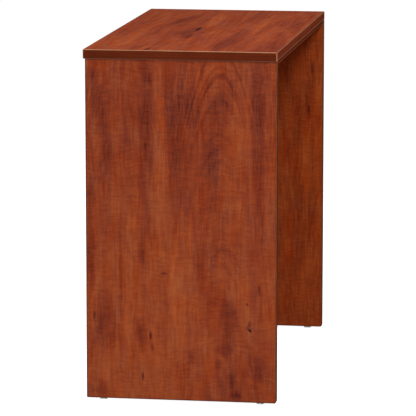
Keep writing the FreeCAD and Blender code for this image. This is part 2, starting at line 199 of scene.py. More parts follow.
# A noise that varies the arris and line tones, which hold scraped wear, painted highlight and painted shade
BAND_WEAR_AND_PAINTED_LIGHT = Layer(0.003, 0.05, 2.0)
BAND_ROUGHNESS = (0.24, 0.18)
BAND_BUMP = (0.0001, 0.2)

# Lines along the desktop's long edges: on the band, above its lower edge, and on the front rail, below it,
# where the line is a painted shadow of the desktop's edge
Line = namedtuple("Line", "low high tones")
LOWER_LINE_START = 0.0020
LOWER_LINE_END = 0.0065
SEAM_SHADOW_HEIGHT = 0.0060
LINE_BLUR = 0.0008

# Where a band is rounded: the rise of its normal from an upright arris to an upper or lower one, and the
# largest part of its normal from flat to rounded
ARRIS_RISE = (0.02, 0.15)
ARRIS_FLATNESS = (0.998, 0.96)

# The tones of a band's flat face, and of its upper, upright and lower arrises. On the desktop's bands the
# upper and upright ones are partly a painted highlight, and the lower ones are painted shade.
Edges = namedtuple("Edges", "flat upper corner under")
FRONT_EDGES = Edges(FRONT_BAND_LIT_TONES, FRONT_ARRIS_HIGHLIGHT_TONES, SCRAPED_AND_HIGHLIGHT_TONES, FRONT_UNDER_SHADE_TONES)
END_EDGES = Edges(BAND_TONES, SCRAPED_AND_HIGHLIGHT_TONES, SCRAPED_AND_HIGHLIGHT_TONES, SCRAPED_UNDER_SHADE_TONES)
DULL_EDGES = Edges(BAND_TONES, DULL_ARRIS_TONES, DULL_ARRIS_TONES, DULL_ARRIS_TONES)
PLAIN_EDGES = Edges(BAND_TONES, BAND_TONES, BAND_TONES, BAND_TONES)
RAIL_EDGES = Edges(RAIL_TONES, RAIL_TONES, RAIL_TONES, RAIL_TONES)

# Metals
Metal = namedtuple("Metal", "material tones size roughness")
ZINC_TONES = (
    (0.30, (0.40, 0.40, 0.41)),
    (0.70, (0.58, 0.58, 0.59)),
)
PLATED_TONES = (
    (0.30, (0.50, 0.50, 0.52)),
    (0.70, (0.66, 0.66, 0.68)),
)
ZINC = Metal("zinc_finish", ZINC_TONES, 0.004, (0.30, 0.25))
PLATED = Metal("plated_finish", PLATED_TONES, 0.003, (0.24, 0.25))
METAL_DETAIL = 4.0
METAL_BUMP_SHARE = 1 / 20
METAL_BUMP_STRENGTH = 0.2

# Nylon
NYLON_TONES = (
    (0.30, (0.70, 0.69, 0.65)),
    (0.70, (0.79, 0.78, 0.74)),
)
NYLON_RATE = 1500.0
NYLON_DETAIL = 3.0
NYLON_ROUGHNESS = (0.42, 0.2)
NYLON_BUMP = (0.0001, 0.3)

# Beech
BEECH_TONES = (
    (0.30, (0.52, 0.33, 0.17)),
    (0.70, (0.64, 0.44, 0.25)),
)
BEECH_BROAD_RATE = 120.0
BEECH_FINE_RATE = 900.0
BEECH_DETAIL = 2.0
BEECH_ROUGHNESS = (0.55, 0.2)
BEECH_BUMP = (0.0001, 0.3)
FLECK_COLOUR = (0.26, 0.13, 0.06, 1.0)
FLECK_FADE = (0.62, 0.72)
FLECK_SHARE = 0.6

# Levelling feet
STEM_RADIUS = 0.0040
STEM_PITCH = 0.00125
STEM_THREAD_DEPTH = 0.0007
STEM_TIP_CHAMFER = 0.0008
FLANGE_RADIUS = 0.0065
FLANGE_TOP = 0.0026
COLLAR_BOTTOM = 0.0046
COLLAR_TOP = 0.0080
COLLAR_WIDTH = 0.0130
COLLAR_CHAMFER = 0.0005

# Bracket screws
BRACKET_SHEET = 0.0025
BRACKET_HOLES = (0.016, 0.031)
SCREW_HEAD_RADIUS = 0.0040
SCREW_HEAD_HEIGHT = 0.0024
SCREW_CROWN_RADIUS = 0.0028
SCREW_RIM_SHARE = 0.45
SCREW_ROUND_SHARE = 0.80
SCREW_RADIUS = 0.0020
SCREW_TIP_RADIUS = SCREW_RADIUS / 24
SCREW_LENGTH = 0.0130
SCREW_POINT = 0.0030
SCREW_PITCH = 0.0016
SCREW_THREAD_DEPTH = 0.0005
RECESS_REACH = 0.0019
RECESS_HALF_WIDTH = 0.00055
RECESS_DEPTH = 0.0015
RECESS_TAPER = 0.55

# Connecting bolts, along their own length from the middle of the cam
BOLT_HEAD_START = 0.0015
BOLT_HEAD_RADIUS = 0.0035
BOLT_SHOULDER = 0.0045
BOLT_NECK_RADIUS = 0.0025
BOLT_NECK_END = 0.0100
BOLT_SHANK_RADIUS = 0.0035
BOLT_COLLAR_START = 0.0310
BOLT_COLLAR_RADIUS = 0.0039
BOLT_JOINT = 0.0340
BOLT_THREAD_RADIUS = 0.0030
BOLT_TIP = 0.0450
BOLT_CHAMFER = 0.0008
BOLT_PITCH = 0.0020
BOLT_THREAD_DEPTH = 0.0005

# Meshes of turned and threaded pieces
RING_SIDES = 24
HEX_SIDES = 6
ROWS_PER_TURN = 6
SHARP_ANGLE = math.radians(30)

# Marks in the print of one face of a board: places across the grain and along it, half sizes, lean in
# degrees, and how dark they are, with pale ones negative. The first are in the left panel's outer face.
Mark = namedtuple("Mark", "across along width length lean dark")
LEFT_PANEL_MARKS = {
    "pale strip at the front": Mark(-0.276, 0.50, 0.034, 0.90, 0, -0.08),
    "dark band beside it": Mark(-0.234, 0.84, 0.034, 0.34, 0, 0.12),
    "pale patch": Mark(-0.192, 0.78, 0.045, 0.13, 4, -0.10),
    "dark under the crown": Mark(-0.119, 0.890, 0.040, 0.110, 0, 0.10),
    "red streak under the crown": Mark(-0.097, 0.78, 0.036, 0.22, 0, 0.07),
    "dark left of the crown": Mark(-0.015, 0.91, 0.030, 0.12, -12, 0.09),
    "pale left of the crown": Mark(-0.050, 0.985, 0.028, 0.10, -14, -0.10),
    "second dark band": Mark(0.018, 0.85, 0.042, 0.28, -6, 0.12),
    "knotty part of it": Mark(0.018, 0.862, 0.016, 0.050, -6, 0.05),
    "lower part of it": Mark(0.024, 0.735, 0.018, 0.045, 0, 0.05),
    "pale band": Mark(0.061, 0.74, 0.036, 0.42, 0, -0.13),
    "first dark band": Mark(0.101, 0.87, 0.036, 0.28, 0, 0.13),
    "knotty middle": Mark(0.100, 0.880, 0.024, 0.080, 0, 0.05),
    "tail": Mark(0.115, 0.60, 0.018, 0.14, 0, 0.08),
    "pale field": Mark(0.165, 0.60, 0.070, 0.26, 0, -0.08),
    "dark lean above": Mark(0.240, 0.90, 0.024, 0.12, -12, 0.10),
    "dark lean below": Mark(0.219, 0.76, 0.028, 0.12, -8, 0.11),
    "pale lean": Mark(0.265, 0.84, 0.022, 0.12, -14, -0.08),
    "corner smudge": Mark(0.268, 0.992, 0.026, 0.034, 0, 0.10),
    "pale lower half": Mark(0.050, 0.28, 0.420, 0.42, 0, -0.09),
    "pale foot": Mark(0.150, 0.08, 0.120, 0.16, 0, -0.08),
    "pale middle": Mark(0.010, 0.30, 0.040, 0.20, 0, -0.12),
    "pale by the dark line": Mark(0.155, 0.33, 0.030, 0.22, 0, -0.10),
    "dark by the back edge": Mark(0.229, 0.245, 0.044, 0.15, -5, 0.17),
    "dark at the back corner": Mark(0.275, 0.45, 0.022, 0.16, 0, 0.13),
    "smudge at mid height": Mark(0.114, 0.458, 0.018, 0.060, 0, 0.16),
    "smudge beside the flecks": Mark(0.115, 0.205, 0.022, 0.070, 0, 0.17),
    "dark at the foot": Mark(0.240, 0.030, 0.050, 0.040, 0, 0.12),
    "long dark line": Mark(0.180, 0.39, 0.009, 0.24, 0, 0.13),
    "dark at the second crown": Mark(-0.063, 0.395, 0.018, 0.090, 0, 0.15),
    "dark below it": Mark(-0.147, 0.240, 0.042, 0.100, 0, 0.17),
    "blot": Mark(-0.133, 0.160, 0.034, 0.026, 0, 0.16),
    "lower blot": Mark(-0.117, 0.118, 0.018, 0.024, 0, 0.16),
    "upright blot": Mark(-0.159, 0.076, 0.014, 0.055, 0, 0.24),
    "small blot": Mark(-0.123, 0.061, 0.016, 0.024, 0, 0.14),
    "foot blot": Mark(-0.168, 0.022, 0.028, 0.020, 0, 0.18),
    "dark low at the front": Mark(-0.243, 0.115, 0.030, 0.070, 0, 0.16),
    "dark low in the middle": Mark(-0.049, 0.138, 0.034, 0.046, 0, 0.15),
    "first fleck": Mark(0.0885, 0.201, 0.0055, 0.020, 0, 0.44),
    "second fleck": Mark(0.0825, 0.167, 0.0075, 0.015, 0, 0.26),
    "third fleck": Mark(0.1135, 0.076, 0.0055, 0.020, 0, 0.40),
    "back fleck": Mark(0.2606, 0.260, 0.0060, 0.018, 0, 0.25),
    "lying fleck": Mark(0.0480, 0.396, 0.0170, 0.0055, 10, 0.30),
    "front fleck": Mark(-0.2405, 0.354, 0.0065, 0.022, 0, 0.30),
    "dot": Mark(-0.2044, 0.310, 0.0050, 0.006, 0, 0.40),
    "knot": Mark(-0.2120, 0.229, 0.0070, 0.009, -40, 0.50),
    "tail of the knot": Mark(-0.2080, 0.243, 0.0065, 0.022, 20, 0.22),
}

# Arches in the same print: axis across, height of the crown, bend of its parabola, half width of the line,
# reach down the sides, and how dark
Arch = namedtuple("Arch", "across along bend width reach dark")
LEFT_PANEL_ARCHES = {
    "upper arch": Arch(-0.120, 0.998, 28.0, 0.014, 0.250, 0.12),
    "pale arch inside it": Arch(-0.120, 0.968, 28.0, 0.020, 0.200, -0.05),
    "dark arch inside that": Arch(-0.120, 0.926, 28.0, 0.022, 0.150, 0.06),
    "pale arch above": Arch(-0.120, 1.038, 26.0, 0.020, 0.290, -0.06),
    "arch above that": Arch(-0.120, 1.076, 24.0, 0.017, 0.320, 0.11),
    "arch far above": Arch(-0.118, 1.190, 18.0, 0.022, 0.400, 0.10),
    "arch farther above": Arch(-0.116, 1.300, 18.0, 0.028, 0.500, 0.09),
    "lower arch": Arch(-0.137, 0.472, 26.0, 0.017, 0.130, 0.09),
}

# Parts of the same print that show clear rings, as marks
LEFT_PANEL_FIGURES = {
    "upper crown": Mark(-0.070, 0.890, 0.210, 0.250, 0, 0.11),
    "lower crown": Mark(-0.130, 0.420, 0.090, 0.110, 0, 0.08),
    "side of the back crown": Mark(0.270, 0.850, 0.080, 0.250, 0, 0.10),
}

# Marks in the desktop's upper face
DESKTOP_MARKS = {
    "fleck": Mark(0.036, -0.005, 0.0080, 0.080, 0, 0.50),
    "second fleck": Mark(0.034, -0.215, 0.0110, 0.100, 0, 0.28),
    "trail between them": Mark(0.052, -0.120, 0.0240, 0.220, 0, 0.15),
    "near streak": Mark(0.104, -0.560, 0.0060, 0.060, 8, 0.42),
    "far dark": Mark(0.125, 0.270, 0.0340, 0.320, 9, 0.15),
    "pale beside it": Mark(0.021, 0.246, 0.0320, 0.260, 0, -0.14),
    "dark middle": Mark(-0.116, -0.148, 0.0320, 0.300, 0, 0.13),
    "pale middle": Mark(-0.143, 0.123, 0.0360, 0.320, 0, -0.14),
    "dark far front": Mark(-0.100, 0.400, 0.0400, 0.260, 0, 0.07),
    "dark near front": Mark(-0.099, -0.440, 0.0440, 0.260, 0, 0.11),
    # These two are partly print and partly painted shade, darkening the top where the lamps light it most
    "front darkened, print and painted shade": Mark(-0.245, -0.020, 0.0500, 0.500, 0, 0.08),
    "near corner darkened, print and painted shade": Mark(-0.262, -0.560, 0.1100, 0.360, 0, 0.16),
    "pale back": Mark(0.207, -0.340, 0.0500, 0.340, 0, -0.08),
    "pale near middle": Mark(0.071, -0.400, 0.0320, 0.220, 0, -0.05),
}

# Marks in the right panel's inner face
RIGHT_PANEL_MARKS = {
    "upper streak": Mark(-0.256, 0.884, 0.008, 0.036, 0, 0.28),
    "lower streak": Mark(-0.244, 0.734, 0.008, 0.030, 0, 0.24),
    "pale band": Mark(-0.238, 0.560, 0.022, 0.22, 0, -0.12),
    "pale front edge": Mark(-0.279, 0.660, 0.020, 0.45, 0, -0.12),
    "dark band": Mark(-0.200, 0.690, 0.028, 0.22, 0, 0.08),
    "dark low": Mark(-0.210, 0.260, 0.030, 0.16, 0, 0.12),
}

# Each board's print: its material's name, the axes across its grain, along it and through the board, a seed,
# a crown's place across it, the placed marks, a factor on its colour and its stretch
NONE_PLACED = {}
Board = namedtuple("Board", "material axes seed crown marks arches figures tint stretch",
                   defaults=(NONE_PLACED, NONE_PLACED, NONE_PLACED, PLAIN_BOARD, 1.0))
BOARDS = {
    "left_end_panel": Board("left_panel_laminate", "YZX", 3.1, -0.122,
                            LEFT_PANEL_MARKS, LEFT_PANEL_ARCHES, LEFT_PANEL_FIGURES),
    "right_end_panel": Board("right_panel_laminate", "YZX", 8.6, -0.06, RIGHT_PANEL_MARKS, tint=WARM_BOARD),
    "desktop": Board("desktop_laminate", "YXZ", 5.4, 0.09, DESKTOP_MARKS, stretch=DESKTOP_STRETCH),
    "modesty_panel": Board("modesty_laminate", "ZXY", 11.9, 0.62, stretch=MODESTY_STRETCH),
}


class Graph:
    """One material's nodes, with a short call for each kind that the finishes use."""

    def __init__(self, name):
        self.material = bpy.data.materials.new(name)
        self.material.use_nodes = True
        self.tree = self.material.node_tree
        self.shader = self.tree.nodes["Principled BSDF"]

    def node(self, kind, **settings):
        made = self.tree.nodes.new(kind)
        for name, value in settings.items():
            setattr(made, name, value)
        return made

    def feed(self, socket, value):
        """Link another node's output to a socket, or set a plain value on it."""
        if isinstance(value, bpy.types.NodeSocket):
            self.tree.links.new(value, socket)
        else:
            socket.default_value = value

    def fill(self, made, values):
        for socket, value in zip(made.inputs, values):
            self.feed(socket, value)
        return made.outputs[0]

    def calc(self, operation, *values):
        return self.fill(self.node("ShaderNodeMath", operation=operation), values)

    def point(self, operation, *values):
        return self.fill(self.node("ShaderNodeVectorMath", operation=operation), values)

    def parts(self, vector):
        made = self.node("ShaderNodeSeparateXYZ")
        self.feed(made.inputs[0], vector)
        return made.outputs

    def join(self, *values):
        return self.fill(self.node("ShaderNodeCombineXYZ"), values)

    def coordinates(self, kind):
        return self.node("ShaderNodeTexCoord").outputs[kind]

    def noise(self, vector, detail):
        made = self.node("ShaderNodeTexNoise")
        self.feed(made.inputs["Vector"], vector)
        made.inputs["Scale"].default_value = 1.0
        made.inputs["Detail"].default_value = detail
        return made.outputs

    def scaled(self, rate):
        """The object's own places, scaled up for a fine noise."""
        made = self.node("ShaderNodeVectorMath", operation="SCALE")
        self.feed(made.inputs[0], self.coordinates("Object"))
        made.inputs["Scale"].default_value = rate
        return made.outputs[0]

    def vary(self, value, least, more):
        """A least value, plus more where a noise is high."""
        return self.calc("MULTIPLY_ADD", value, more, least)

    def smooth(self, value, low, high):
        """A soft step from 0 at one value to 1 at another."""
        made = self.node("ShaderNodeMapRange", interpolation_type="SMOOTHSTEP")
        self.feed(made.inputs["Value"], value)
        made.inputs["From Min"].default_value = low
        made.inputs["From Max"].default_value = high
        return made.outputs["Result"]

    def ramp(self, factor, stops):
        made = self.node("ShaderNodeValToRGB")
        self.feed(made.inputs["Fac"], factor)
        elements = made.color_ramp.elements
        while len(elements) < len(stops):
            elements.new(1.0)
        for element, (position, colour) in zip(elements, stops):
            element.position = position
            element.color = (*colour, 1.0)
        return made.outputs["Color"]

    def mix(self, kind, factor, first, second):
        made = self.node("ShaderNodeMixRGB", blend_type=kind)
        return self.fill(made, (factor, first, second))

    def bump(self, height, distance, strength):
        made = self.node("ShaderNodeBump")
        self.feed(made.inputs["Height"], height)
        made.inputs["Distance"].default_value = distance
        made.inputs["Strength"].default_value = strength
        self.feed(self.shader.inputs["Normal"], made.outputs["Normal"])

    def surface(self, **values):
        """Set the shader's own sockets, named with underscores for spaces."""
        for name, value in values.items():
            self.feed(self.shader.inputs[name.replace("_", " ")], value)
        return self.material


# Cherry laminate


def grain_space(graph, axes):
    """A board's places across its grain, along it and through the board."""
    place = graph.parts(graph.coordinates("Object"))
    return graph.join(*[place[axis] for axis in axes])


def streaks(graph, grain, layer, seed):
    """Noise drawn out along the grain, its features about as wide and long as the layer says."""
    rate = (1 / layer.width, 1 / layer.length, FACE_STRETCH)
    shift = (seed, 2 * seed, 3 * seed)
    return graph.noise(graph.point("MULTIPLY_ADD", grain, rate, shift), layer.detail)["Fac"]


def unrest(graph, grain, rate, shift):
    """Noise about zero, in three directions."""
    scaled = graph.point("MULTIPLY_ADD", grain, rate, shift)
    return graph.point("SUBTRACT", graph.noise(scaled, WANDER_DETAIL)["Color"], NOISE_MIDDLE)


def wandering(graph, grain, seed):
    """The same places, moved a little so that no line is straight: less for the print, more for the grain."""
    drift = unrest(graph, grain, DRIFT_RATE, (seed, seed, seed))
    shiver = unrest(graph, grain, SHIVER_RATE, (seed, -seed, seed))
    print_places = graph.point("MULTIPLY_ADD", drift, PRINT_DRIFT, grain)
    print_places = graph.point("MULTIPLY_ADD", shiver, PRINT_SHIVER, print_places)
    grain_places = graph.point("MULTIPLY_ADD", drift, GRAIN_DRIFT, grain)
    grain_places = graph.point("MULTIPLY_ADD", shiver, GRAIN_SHIVER, grain_places)
    return print_places, grain_places


def crown_field(graph, places, axis, bend, spacing=None):
    """Height along the grain plus a parabola across it: equal values are nested crowns."""
    across, along, _ = graph.parts(places)
    offset = graph.calc("SUBTRACT", across, axis)
    if spacing:
        offset = graph.calc("WRAP", offset, spacing / 2, -spacing / 2)
    square = graph.calc("MULTIPLY", offset, offset)
    return graph.calc("MULTIPLY_ADD", square, bend, along)


def crown_rings(graph, places, axis, seed, period, detail):
    """Growth rings of a board sawn through its crown."""
    through = graph.parts(places)[2]
    field = crown_field(graph, places, axis, CROWN_BEND, CROWN_SPACING)
    depth = graph.calc("MULTIPLY", through, FACE_STRETCH)
    rings = graph.join(graph.calc("DIVIDE", field, period), seed, depth)
    return graph.noise(rings, detail)["Fac"]


def blob(graph, places, centre, size, lean):
    """1 at the middle of a leaning ellipsoid, 0 outside it."""
    local = graph.node("ShaderNodeMapping", vector_type="TEXTURE")
    graph.feed(local.inputs["Vector"], places)
    local.inputs["Location"].default_value = centre
    local.inputs["Rotation"].default_value = (0.0, 0.0, math.radians(lean))
    local.inputs["Scale"].default_value = size
    ball = graph.node("ShaderNodeTexGradient", gradient_type="SPHERICAL")
    graph.feed(ball.inputs["Vector"], local.outputs["Vector"])
    return graph.smooth(ball.outputs["Fac"], 0.0, MARK_FADE)


def add_marks(graph, shade, places, marks, face):
    """Add each mark's darkness to the shade, on one face of the board only."""
    for mark in marks.values():
        centre = (mark.across, mark.along, face)
        size = (mark.width, mark.length, MARK_DEPTH)
        shape = blob(graph, places, centre, size, mark.lean)
        shade = graph.calc("MULTIPLY_ADD", shape, mark.dark, shade)
    return shade


def add_arches(graph, shade, places, arches, face):
    """Add dark arched lines to the shade, strongest at the crown and fading down the sides."""
    for arch in arches.values():
        field = crown_field(graph, places, arch.across, arch.bend)
        away = graph.calc("ABSOLUTE", graph.calc("SUBTRACT", field, arch.along))
        line = graph.smooth(away, arch.width, 0.0)
        centre = (arch.across, arch.along, face)
        size = (arch.reach, arch.reach, MARK_DEPTH)
        shape = graph.calc("MULTIPLY", line, blob(graph, places, centre, size, 0))
        shade = graph.calc("MULTIPLY_ADD", shape, arch.dark, shade)
    return shade


def add_figures(graph, shade, places, figures, face, crown, seed):
    """Add clear dark ring lines to the shade in the parts of the print that show a crown."""
    if figures:
        rings = crown_rings(graph, places, crown, seed + FIGURE_SEED, FIGURE_PERIOD, FIGURE_DETAIL)
        lines = graph.smooth(rings, *FIGURE_FADE)
    for figure in figures.values():
        centre = (figure.across, figure.along, face)
        size = (figure.width, figure.length, MARK_DEPTH)
        shape = graph.calc("MULTIPLY", lines, blob(graph, places, centre, size, figure.lean))
        shade = graph.calc("MULTIPLY_ADD", shape, figure.dark, shade)
    return shade


def laminate(board, face):
    """Printed cherry laminate: bands, crowns, fibres and ripple along the grain, then marks on one face."""
    graph = Graph(board.material)
    seed = board.seed
    stretch = (1.0, 1 / board.stretch, 1.0)
    traced, places = wandering(graph, grain_space(graph, board.axes), seed)
    drawn = graph.point("MULTIPLY", places, stretch)
    straighter = graph.point("MULTIPLY", traced, stretch)
    fibres = streaks(graph, drawn, FIBRES, seed)
    layers = [(streaks(graph, drawn, layer, seed), layer.weight) for layer in BROAD_LAYERS]
    layers += [
        (crown_rings(graph, drawn, board.crown, seed, CROWN_PERIOD, CROWN_DETAIL), CROWN_WEIGHT),
        (fibres, FIBRES.weight),
        (streaks(graph, straighter, RIPPLE, seed), RIPPLE.weight),
    ]
    tone = MIDDLE_TONE - sum(weight for _, weight in layers) / 2
    for layer, weight in layers:
        tone = graph.calc("MULTIPLY_ADD", layer, weight, tone)
    shade = add_marks(graph, 0.0, traced, board.marks, face)
    shade = add_arches(graph, shade, traced, board.arches, face)
    shade = add_figures(graph, shade, traced, board.figures, face, board.crown, seed)
    mottle = streaks(graph, drawn, MOTTLE, seed + MOTTLE_SEED)
    shade = graph.calc("MULTIPLY", shade, graph.vary(mottle, MOTTLE_LEAST, MOTTLE.weight))
    colour = graph.ramp(graph.calc("SUBTRACT", tone, shade), LAMINATE_TONES)
    tint = graph.ramp(streaks(graph, places, TINT, seed + TINT_SEED), LAMINATE_TINTS)
    colour = graph.mix("MULTIPLY", 1.0, colour, tint)
    colour = graph.mix("MULTIPLY", 1.0, colour, board.tint)
    graph.bump(fibres, *LAMINATE_BUMP)
    roughness = graph.vary(fibres, *LAMINATE_ROUGHNESS)
    return graph.surface(Base_Color=colour, Roughness=roughness, Specular_IOR_Level=0.0,
                         Coat_Weight=LAMINATE_SHEEN, Coat_Roughness=LAMINATE_SHEEN_ROUGHNESS)


# Edge bands


def edge_band(name, axes, edges, seed, line=None):
    """Edge banding with a faint grain along it, other tones where it is rounded, and perhaps a line. The
    rounded tones are scraped PVC with a painted highlight on upper and upright arrises and painted shade on
    lower ones, and the rail's line is a painted shadow.
    """
    graph = Graph(name)
    grain = grain_space(graph, axes)
    lines = streaks(graph, grain, BAND_LINES, seed)
    cloud = graph.calc("MULTIPLY", streaks(graph, grain, BAND_CLOUD, seed), BAND_CLOUD.weight)
    band = graph.ramp(graph.vary(lines, cloud, BAND_LINES.weight), edges.flat)
    # Noise for the arris and line tones: scraped wear, painted highlight and painted shade
    wear_and_painted_light = streaks(graph, grain, BAND_WEAR_AND_PAINTED_LIGHT, seed + WEAR_AND_PAINTED_LIGHT_SEED)
    if line:
        across = graph.parts(grain)[0]
        above_low = graph.smooth(across, line.low - LINE_BLUR, line.low + LINE_BLUR)
        below_high = graph.smooth(across, line.high + LINE_BLUR, line.high - LINE_BLUR)
        inside = graph.calc("MULTIPLY", above_low, below_high)
        band = graph.mix("MIX", inside, band, graph.ramp(wear_and_painted_light, line.tones))
    normal = graph.coordinates("Normal")
    rise = graph.parts(normal)[2]
    # Upper and upright arrises take scraped tones with a painted highlight
    upper = graph.smooth(rise, *ARRIS_RISE)
    # Lower arrises, which face down, take darker tones: painted shade
    under = graph.smooth(rise, *[-limit for limit in ARRIS_RISE])
    arris = graph.mix("MIX", upper, graph.ramp(wear_and_painted_light, edges.corner), graph.ramp(wear_and_painted_light, edges.upper))
    arris = graph.mix("MIX", under, arris, graph.ramp(wear_and_painted_light, edges.under))
    x, y, z = graph.parts(graph.point("ABSOLUTE", normal))
    flatness = graph.calc("MAXIMUM", graph.calc("MAXIMUM", x, y), z)
    rounded = graph.smooth(flatness, *ARRIS_FLATNESS)
    colour = graph.mix("MIX", rounded, band, arris)
    graph.bump(lines, *BAND_BUMP)
    roughness = graph.vary(lines, *BAND_ROUGHNESS)
    return graph.surface(Base_Color=colour, Roughness=roughness, Specular_IOR_Level=0.0)


# Fittings


def metal(kind):
    """Bare or plated metal, clouded and slightly rough at its own size."""
    graph = Graph(kind.material)
    cloud = graph.noise(graph.scaled(1 / kind.size), METAL_DETAIL)["Fac"]
    graph.bump(cloud, kind.size * METAL_BUMP_SHARE, METAL_BUMP_STRENGTH)
    colour = graph.ramp(cloud, kind.tones)
    roughness = graph.vary(cloud, *kind.roughness)
    return graph.surface(Base_Color=colour, Roughness=roughness, Metallic=1.0)


def nylon():
    """Moulded off-white nylon with a fine eroded texture."""
    graph = Graph("nylon_finish")
    texture = graph.noise(graph.scaled(NYLON_RATE), NYLON_DETAIL)["Fac"]
    colour = graph.ramp(texture, NYLON_TONES)
    graph.bump(texture, *NYLON_BUMP)
    roughness = graph.vary(texture, *NYLON_ROUGHNESS)
    return graph.surface(Base_Color=colour, Roughness=roughness)


def beech():
    """Raw beech with short dark flecks."""
    graph = Graph("beech_finish")
    fine = graph.noise(graph.scaled(BEECH_FINE_RATE), BEECH_DETAIL)["Fac"]
    broad = graph.noise(graph.scaled(BEECH_BROAD_RATE), BEECH_DETAIL)["Fac"]
    flecks = graph.calc("MULTIPLY", graph.smooth(fine, *FLECK_FADE), FLECK_SHARE)
    colour = graph.mix("MIX", flecks, graph.ramp(broad, BEECH_TONES), FLECK_COLOUR)
    graph.bump(fine, *BEECH_BUMP)
    roughness = graph.vary(fine, *BEECH_ROUGHNESS)
    return graph.surface(Base_Color=colour, Roughness=roughness)


# Turned and threaded pieces


def ring(height, radius_at):
    """A ring of points round Z, with a radius that may change with the angle."""
    angles = [2 * math.pi * side / RING_SIDES for side in range(RING_SIDES)]
    return [Vector((radius_at(a) * math.cos(a), radius_at(a) * math.sin(a), height)) for a in angles]


def round_ring(height, radius):
    return ring(height, lambda angle: radius)


def hex_ring(height, half_width, limit):
    """A hexagon's ring, with its corners cut back to a largest radius."""
    sector = 2 * math.pi / HEX_SIDES

    def radius(angle):
        return min(half_width / math.cos(angle % sector - sector / 2), limit)

    return ring(height, radius)


def thread_rings(low, high, radius, pitch, depth):
    """Rings whose crest climbs one pitch in a right-handed turn, running out at both ends."""
    rows = round((high - low) / pitch * ROWS_PER_TURN)
    rings = []
    for row in range(rows + 1):
        height = low + (high - low) * row / rows
        runout = min(1.0, (height - low) / pitch, (high - height) / pitch)

        def thread(angle, height=height, cut=depth * runout):
            phase = (height / pitch - angle / (2 * math.pi)) % 1
            return radius - cut * abs(2 * phase - 1)

        rings.append(ring(height, thread))
    return rings


def skin(shape, rings, cap_top=True):
    """Faces over a stack of rings, with a cap at the bottom and, if wanted, at the top."""
    loops = [[shape.verts.new(point) for point in points] for points in rings]
    for below, above in zip(loops, loops[1:]):
        for side in range(RING_SIDES):
            after = (side + 1) % RING_SIDES
            shape.faces.new((below[side], below[after], above[after], above[side]))
    shape.faces.new(reversed(loops[0]))
    if cap_top:
        shape.faces.new(loops[-1])
    return loops


def piece(name, shape, material, body, replaced):
    """An object from a finished shape, which rides on a body and stands for a node."""
    mesh = bpy.data.meshes.new(name)
    shape.to_mesh(mesh)
    shape.free()
    mesh.materials.append(material)
    mesh.shade_smooth()
    mesh.set_sharp_from_angle(angle=SHARP_ANGLE)
    made = bpy.data.objects.new(name, mesh)
    bpy.context.scene.collection.objects.link(made)
    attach(made, body)
    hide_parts(replaced)
    return made


def stem_shape(low, high):
    """A foot's stem: flange, neck, chamfered hex collar, thread and tip."""
    half = COLLAR_WIDTH / 2
    corner = half / math.cos(math.pi / HEX_SIDES)
    thread_top = high - STEM_TIP_CHAMFER
    rings = [
        round_ring(low, FLANGE_RADIUS),
        round_ring(FLANGE_TOP, FLANGE_RADIUS),
        round_ring(FLANGE_TOP, STEM_RADIUS),
        round_ring(COLLAR_BOTTOM, STEM_RADIUS),
        hex_ring(COLLAR_BOTTOM, half, half),
        hex_ring(COLLAR_BOTTOM + COLLAR_CHAMFER, half, corner),
        hex_ring(COLLAR_TOP - COLLAR_CHAMFER, half, corner),
        hex_ring(COLLAR_TOP, half, half),
    ]
    rings += thread_rings(COLLAR_TOP, thread_top, STEM_RADIUS, STEM_PITCH, STEM_THREAD_DEPTH)
    rings.append(round_ring(high, STEM_RADIUS - STEM_TIP_CHAMFER))
    shape = bmesh.new()
    skin(shape, rings)
    return shape


def cross(height, scale):
    """The outline of a cross recess at a height."""
    reach = RECESS_REACH * scale
    half = RECESS_HALF_WIDTH * scale
    arm = [(reach, -half), (reach, half), (half, half)]
    points = []
    for quarter in range(4):
        turn = Matrix.Rotation(quarter * math.pi / 2, 3, "Z")
        points += [turn @ Vector((x, y, height)) for x, y in arm]
    return points


def screw_shape():
    """A wood screw pointing down, its head's seat at the origin, with a cross recess in its crown."""
    tip = -SCREW_LENGTH
    point_start = tip + SCREW_POINT
    rings = [round_ring(tip, SCREW_TIP_RADIUS)]
    rings += thread_rings(point_start, -SCREW_PITCH / 2, SCREW_RADIUS, SCREW_PITCH, SCREW_THREAD_DEPTH)
    rings += [
        round_ring(0.0, SCREW_RADIUS),
        round_ring(0.0, SCREW_HEAD_RADIUS),
        round_ring(SCREW_HEAD_HEIGHT * SCREW_RIM_SHARE, SCREW_HEAD_RADIUS),
        round_ring(SCREW_HEAD_HEIGHT * SCREW_ROUND_SHARE, (SCREW_HEAD_RADIUS + SCREW_CROWN_RADIUS) / 2),
        round_ring(SCREW_HEAD_HEIGHT, SCREW_CROWN_RADIUS),
    ]
    shape = bmesh.new()
    crown = skin(shape, rings, cap_top=False)[-1]
    mouth = [shape.verts.new(point) for point in cross(SCREW_HEAD_HEIGHT, 1.0)]
    floor = [shape.verts.new(point) for point in cross(SCREW_HEAD_HEIGHT - RECESS_DEPTH, RECESS_TAPER)]
    rim = [shape.edges.get(pair) for pair in zip(crown, crown[1:] + crown[:1])]
    lips = [shape.edges.new(pair) for pair in zip(mouth, mouth[1:] + mouth[:1])]
    bmesh.ops.triangle_fill(shape, use_beauty=True, edges=rim + lips)
    for number in range(len(mouth)):
        after = (number + 1) % len(mouth)
        shape.faces.new((mouth[number], floor[number], floor[after], mouth[after]))
    shape.faces.new(floor)
    bmesh.ops.recalc_face_normals(shape, faces=shape.faces)
    return shape


